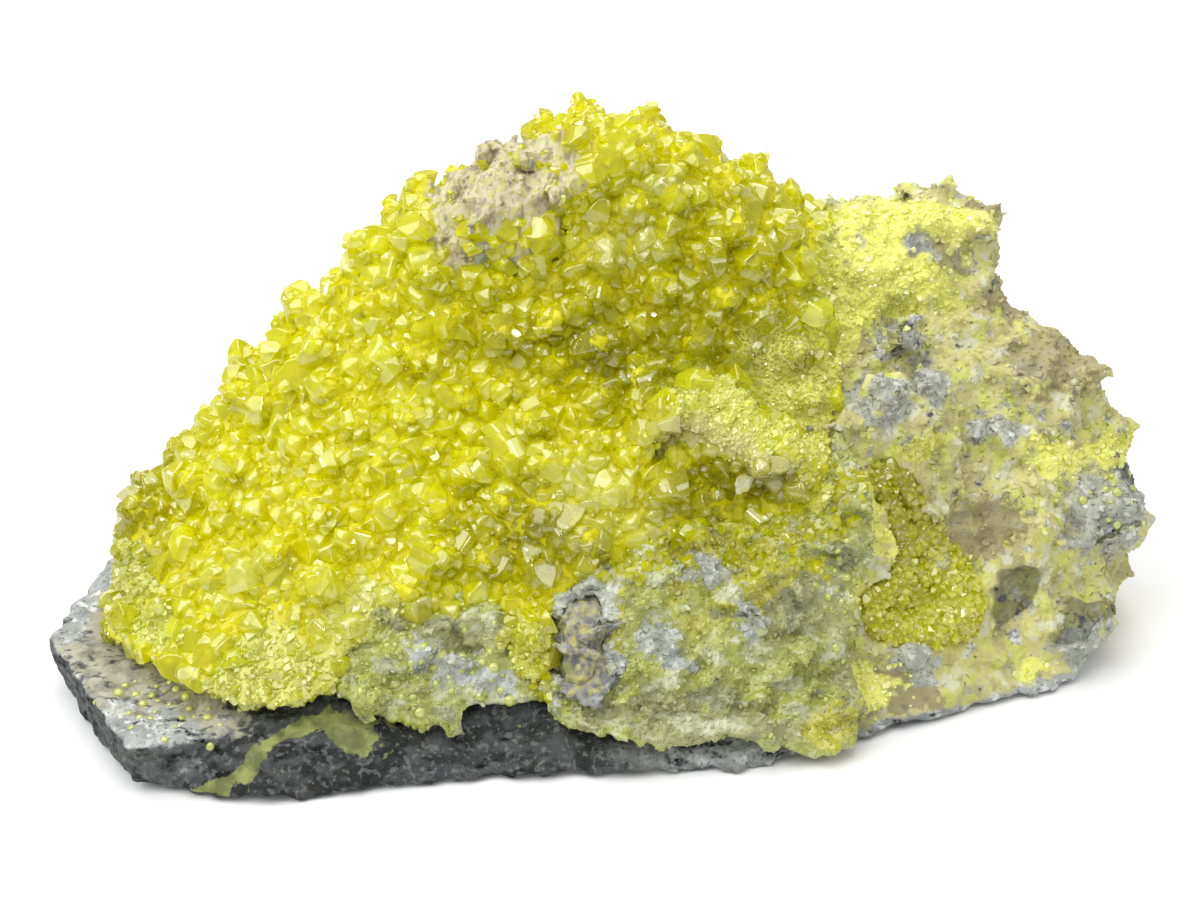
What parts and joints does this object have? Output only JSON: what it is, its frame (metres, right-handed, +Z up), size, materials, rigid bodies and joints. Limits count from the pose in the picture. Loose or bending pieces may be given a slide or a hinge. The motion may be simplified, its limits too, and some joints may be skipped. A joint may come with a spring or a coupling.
{
  "type": "native sulfur specimen",
  "caption": "Hand specimen of native sulfur: a druse of blunt yellow crystals and a crust of massive sulfur on grey host rock, lying on its flat foot.",
  "frame": {"origin": "on the table under the middle of the specimen's bounding box", "axes": "+X along the specimen's length, towards the end with the vug; +Y to its bare back, so the crystals face -Y; +Z up"},
  "size_m": [0.2312, 0.1332, 0.1138],
  "materials": {
    "host_rock": null,
    "massive_sulfur": null,
    "crystal_druse": "translucent lemon-yellow sulfur crystals with a resinous shine",
    "vug_crystals": "translucent olive-yellow sulfur crystals with a resinous shine"
  },
  "bodies": {
    "root": {"host_rock": "host_rock", "massive_sulfur": "massive_sulfur", "crystal_druse": "crystal_druse", "vug_crystals": "vug_crystals"}
  },
  "joints": []
}
